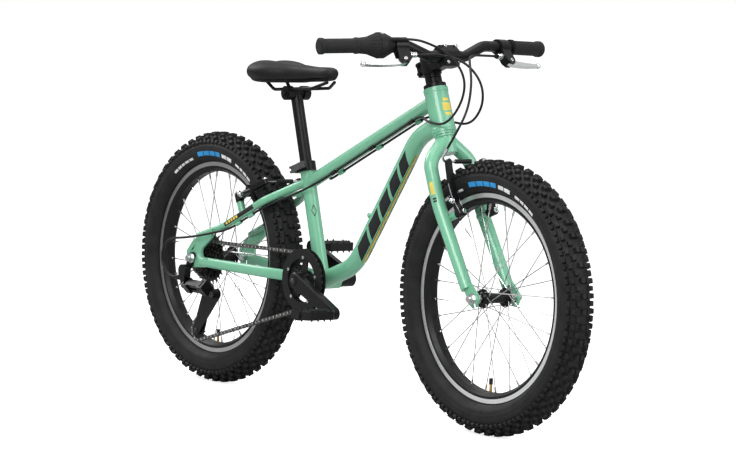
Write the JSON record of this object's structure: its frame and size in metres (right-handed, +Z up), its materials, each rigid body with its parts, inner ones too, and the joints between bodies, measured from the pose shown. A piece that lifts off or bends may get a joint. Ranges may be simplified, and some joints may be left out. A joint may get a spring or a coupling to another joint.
{
  "type": "bicycle",
  "caption": "Small mountain bicycle with wide knobby tyres, rigid fork, rim brakes, twist shifter and rear derailleur, all turning and sliding as on the real one.",
  "frame": {"origin": "on the ground, midway between the two wheel axles, in the bicycle's middle plane", "axes": "+X forward, +Y to the rider's left, +Z up"},
  "size_m": [1.454, 0.5774, 0.7834],
  "materials": {
    "frame_paint": "gloss mint paint",
    "black_metal": "satin black",
    "silver_metal": "machined",
    "steel": "zinc plated",
    "dark_steel": "oiled",
    "tyre": "matte",
    "rubber": "matte",
    "black_plastic": "fine grain",
    "saddle_skin": "grained",
    "housing": "satin sleeve"
  },
  "bodies": {
    "frame": {"head_tube": "frame_paint", "headset": "black_metal", "seat_tube": "frame_paint", "bottom_bracket_shell": "frame_paint", "down_tube": "frame_paint", "top_tube": "frame_paint", "dropouts": "frame_paint", "chain_stays": "frame_paint", "seat_stays": "frame_paint", "rear_axle": "steel", "bottom_bracket": "black_metal", "seat_clamp": "black_metal", "derailleur_body": "black_metal", "chain": "dark_steel", "rear_brake_cable": "housing", "shift_cable": "housing"},
    "steering": {"fork": "frame_paint", "front_axle": "steel", "headset_spacers": "black_metal", "stem": "black_metal", "handlebar": "black_metal", "grips": "rubber", "shifter_housing": "black_plastic", "brake_perches": "black_metal", "front_brake_cable": "housing"},
    "front_wheel": {"front_tyre": "tyre", "front_rim": "black_metal", "front_inner_tube": "rubber", "front_spokes": "steel", "front_hub": "black_metal"},
    "rear_wheel": {"rear_tyre": "tyre", "rear_rim": "black_metal", "rear_inner_tube": "rubber", "rear_spokes": "steel", "rear_hub": "black_metal"},
    "crank": {"crank_left": "black_metal", "crank_right": "black_metal", "chainring": "black_metal"},
    "saddle": {"saddle_cover": "saddle_skin", "saddle_base": "black_plastic", "saddle_rails": "black_metal", "saddle_clamp": "black_metal"},
    "pedal_left": {"pedal_left": "black_plastic"},
    "pedal_right": {"pedal_right": "black_plastic"},
    "cassette": {"cassette": "dark_steel"},
    "brake_lever_left": {"brake_lever_left": "silver_metal"},
    "brake_lever_right": {"brake_lever_right": "silver_metal"},
    "front_brake_arm_left": {"front_brake_arm_left": "black_metal"},
    "front_brake_arm_right": {"front_brake_arm_right": "black_metal"},
    "rear_brake_arm_left": {"rear_brake_arm_left": "black_metal"},
    "rear_brake_arm_right": {"rear_brake_arm_right": "black_metal"},
    "shifter_twist_grip": {"shifter_twist_grip": "rubber"},
    "derailleur_outer_link": {"derailleur_outer_link": "black_metal"},
    "derailleur_inner_link": {"derailleur_inner_link": "black_metal"},
    "derailleur_knuckle": {"derailleur_knuckle": "black_metal"},
    "derailleur_cage": {"derailleur_cage": "black_metal"},
    "guide_pulley": {"guide_pulley": "black_plastic"},
    "tension_pulley": {"tension_pulley": "black_plastic"},
    "seatpost": {"seatpost": "black_metal"},
    "seat_clamp_lever": {"seat_clamp_lever": "silver_metal"}
  },
  "joints": [
    {"name": "steering", "type": "hinge", "parent": "frame", "child": "steering", "pos_m": [0.28571, 0, 0.58577], "axis": [-0.3584, 0, 0.9336], "range_deg": [-75, 75], "deforming": ["rear_brake_cable", "shift_cable"]},
    {"name": "front_wheel_spin", "type": "hinge", "parent": "steering", "child": "front_wheel", "pos_m": [0.455, 0, 0.272], "axis": [0, 1, 0], "continuous": true},
    {"name": "rear_wheel_spin", "type": "hinge", "parent": "frame", "child": "rear_wheel", "pos_m": [-0.455, 0, 0.272], "axis": [0, 1, 0], "continuous": true},
    {"name": "crank_spin", "type": "hinge", "parent": "frame", "child": "crank", "pos_m": [-0.092, 0, 0.257], "axis": [0, 1, 0], "continuous": true, "deforming": ["chain"]},
    {"name": "cassette_spin", "type": "hinge", "parent": "frame", "child": "cassette", "pos_m": [-0.455, 0, 0.272], "axis": [0, 1, 0], "continuous": true},
    {"name": "pedal_left_spin", "type": "hinge", "parent": "crank", "child": "pedal_left", "pos_m": [-0.22039, 0.125, 0.31283], "axis": [0, 1, 0], "continuous": true},
    {"name": "pedal_right_spin", "type": "hinge", "parent": "crank", "child": "pedal_right", "pos_m": [0.03639, -0.125, 0.20117], "axis": [0, 1, 0], "continuous": true},
    {"name": "brake_lever_left", "type": "hinge", "parent": "steering", "child": "brake_lever_left", "pos_m": [0.28634, 0.16278, 0.72703], "axis": [0.7692, 0.1846, 0.6118], "range_deg": [0, 10], "stiffness_Nm_per_rad": 1.5, "deforming": ["front_brake_cable"]},
    {"name": "brake_lever_right", "type": "hinge", "parent": "steering", "child": "brake_lever_right", "pos_m": [0.29596, -0.11782, 0.7285], "axis": [-0.7692, 0.1846, -0.6118], "range_deg": [0, 10], "stiffness_Nm_per_rad": 1.5},
    {"name": "front_brake_arm_left", "type": "hinge", "parent": "steering", "child": "front_brake_arm_left", "pos_m": [0.38311, 0.04, 0.4325], "axis": [0.9336, 0, 0.3584], "range_deg": [0, 2.1], "stiffness_Nm_per_rad": 1},
    {"name": "front_brake_arm_right", "type": "hinge", "parent": "steering", "child": "front_brake_arm_right", "pos_m": [0.38311, -0.04, 0.4325], "axis": [-0.9336, 0, -0.3584], "range_deg": [0, 2.1], "stiffness_Nm_per_rad": 1},
    {"name": "rear_brake_arm_right", "type": "hinge", "parent": "frame", "child": "rear_brake_arm_right", "pos_m": [-0.33507, -0.04, 0.40093], "axis": [-0.4067, 0, 0.9135], "range_deg": [0, 2.1], "stiffness_Nm_per_rad": 1},
    {"name": "rear_brake_arm_left", "type": "hinge", "parent": "frame", "child": "rear_brake_arm_left", "pos_m": [-0.33507, 0.04, 0.40093], "axis": [0.4067, 0, -0.9135], "range_deg": [0, 2.1], "stiffness_Nm_per_rad": 1},
    {"name": "shifter_twist", "type": "hinge", "parent": "steering", "child": "shifter_twist_grip", "pos_m": [0.23703, -0.282, 0.75304], "axis": [-0.2092, -0.9774, -0.032], "range_deg": [-30, 64]},
    {"name": "derailleur_outer_link", "type": "hinge", "parent": "frame", "child": "derailleur_outer_link", "pos_m": [-0.451, -0.08706, 0.21816], "axis": [0, 0.7071, 0.7071], "range_deg": [-16.6, 35.3]},
    {"name": "derailleur_inner_link", "type": "hinge", "parent": "frame", "child": "derailleur_inner_link", "pos_m": [-0.451, -0.07574, 0.20684], "axis": [0, 0.7071, 0.7071], "range_deg": [-16.6, 35.3]},
    {"name": "derailleur_knuckle", "type": "hinge", "parent": "derailleur_outer_link", "child": "derailleur_knuckle", "pos_m": [-0.403, -0.08706, 0.21816], "axis": [0, 0.7071, 0.7071], "range_deg": [-35.3, 16.6]},
    {"name": "derailleur_cage", "type": "hinge", "parent": "derailleur_knuckle", "child": "derailleur_cage", "pos_m": [-0.384, -0.067, 0.2], "axis": [0, -1, 0], "range_deg": [-5, 12], "stiffness_Nm_per_rad": 1.2},
    {"name": "guide_pulley_spin", "type": "hinge", "parent": "derailleur_cage", "child": "guide_pulley", "pos_m": [-0.43222, -0.05, 0.19815], "axis": [0, 1, 0], "continuous": true},
    {"name": "tension_pulley_spin", "type": "hinge", "parent": "derailleur_cage", "child": "tension_pulley", "pos_m": [-0.45774, -0.05, 0.11464], "axis": [0, 1, 0], "continuous": true},
    {"name": "seatpost_slide", "type": "slide", "parent": "frame", "child": "seatpost", "axis": [-0.2807, 0, 0.9598], "range_m": [-0.075, 0.06]},
    {"name": "saddle_tilt", "type": "hinge", "parent": "seatpost", "child": "saddle", "pos_m": [-0.20399, 0, 0.63996], "axis": [0, 1, 0], "range_deg": [-10, 10]},
    {"name": "seat_clamp_lever", "type": "hinge", "parent": "frame", "child": "seat_clamp_lever", "pos_m": [-0.18336, -0.0174, 0.48034], "axis": [0.2807, 0, -0.9598], "range_deg": [0, 150]}
  ],
  "couplings": [
    {"joint": "cassette_spin", "follows": "crank_spin", "ratio": 1.5556},
    {"joint": "guide_pulley_spin", "follows": "crank_spin", "ratio": -2.5455},
    {"joint": "tension_pulley_spin", "follows": "crank_spin", "ratio": 2.5455},
    {"joint": "front_brake_arm_left", "follows": "brake_lever_left", "ratio": 0.21},
    {"joint": "front_brake_arm_right", "follows": "brake_lever_left", "ratio": 0.21},
    {"joint": "rear_brake_arm_left", "follows": "brake_lever_right", "ratio": 0.21},
    {"joint": "rear_brake_arm_right", "follows": "brake_lever_right", "ratio": 0.21},
    {"joint": "derailleur_outer_link", "follows": "shifter_twist", "ratio": 0.55},
    {"joint": "derailleur_inner_link", "follows": "shifter_twist", "ratio": 0.55},
    {"joint": "derailleur_knuckle", "follows": "shifter_twist", "ratio": -0.55}
  ]
}
